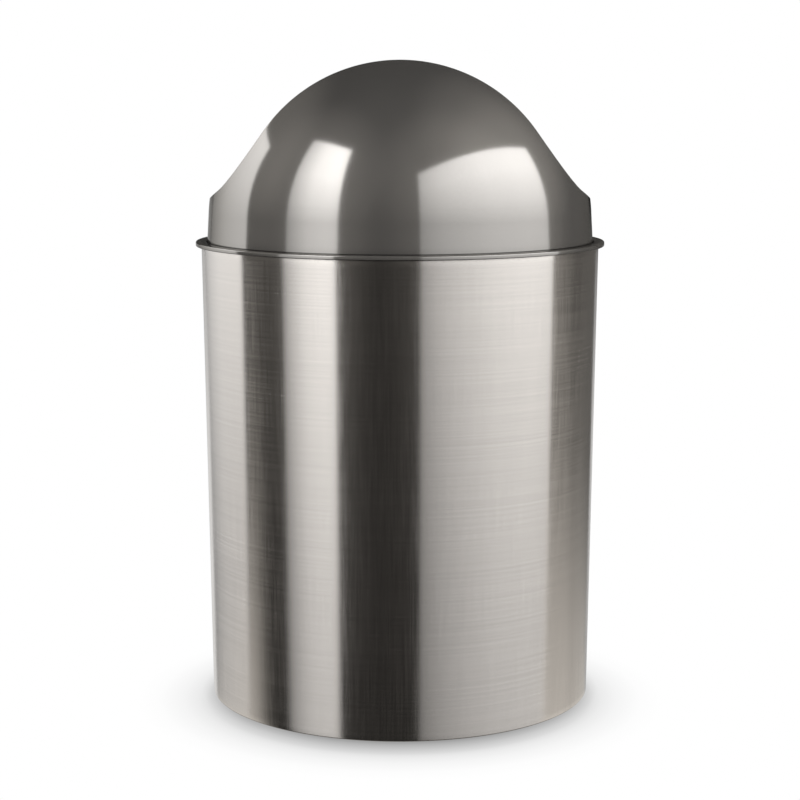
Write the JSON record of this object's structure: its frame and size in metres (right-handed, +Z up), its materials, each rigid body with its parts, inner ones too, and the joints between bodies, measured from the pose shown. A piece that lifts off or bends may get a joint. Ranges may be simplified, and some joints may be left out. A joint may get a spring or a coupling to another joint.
{
  "type": "dome top waste receptacle",
  "caption": "Round waste receptacle with a brushed shell, a lift-out inner bucket hung from a wide rim, and a lift-off dome lid with a self-closing swing flap over its crown.",
  "frame": {"origin": "centre of the footprint, on the floor", "axes": "+Z up along the receptacle's axis, -Y towards the front cheek of the dome that the picture faces, X from mouth to mouth"},
  "size_m": [0.254, 0.254, 0.3972],
  "materials": {
    "shell_steel": "fine horizontal brushing, satin nickel tone",
    "base_steel": "plain grey painted sheet",
    "foot_rubber": "matt black rubber",
    "lid_finish": "smooth glossy dark warm-grey metallic plating over a moulding",
    "bucket_plastic": "fine matt moulded plastic",
    "nylon": "natural nylon",
    "stop_rubber": "matt black rubber",
    "pin_steel": "bright zinc-plated turned steel",
    "spring_steel": "dark phosphated spring steel",
    "weight_steel": "mill-finish bar"
  },
  "bodies": {
    "can": {"outer_shell": "shell_steel", "base_plate": "base_steel", "foot_ring": "foot_rubber"},
    "bucket": {"rim_ring": "lid_finish", "inner_bucket": "bucket_plastic"},
    "lid": {"dome_hood": "lid_finish", "pivot_bush_front": "nylon", "pivot_bush_rear": "nylon", "stop_sleeve_front": "stop_rubber", "stop_sleeve_rear": "stop_rubber"},
    "flap": {"flap_panel": "lid_finish", "pivot_pin_front": "pin_steel", "pivot_pin_rear": "pin_steel", "pin_clip_front": "spring_steel", "pin_clip_rear": "spring_steel", "thrust_washer_front": "nylon", "thrust_washer_rear": "nylon", "flap_weight_left": "weight_steel", "flap_weight_right": "weight_steel", "weight_screws_left": "pin_steel", "weight_screws_right": "pin_steel"}
  },
  "joints": [
    {"name": "bucket_lift", "type": "slide", "parent": "can", "child": "bucket", "axis": [0, 0, 1], "range_m": [0, 0.3]},
    {"name": "lid_lift", "type": "slide", "parent": "bucket", "child": "lid", "axis": [0, 0, 1], "range_m": [0, 0.16]},
    {"name": "flap_swing", "type": "hinge", "parent": "lid", "child": "flap", "pos_m": [0, 0, 0.37699], "axis": [0, 1, 0], "range_deg": [-50, 50]}
  ]
}
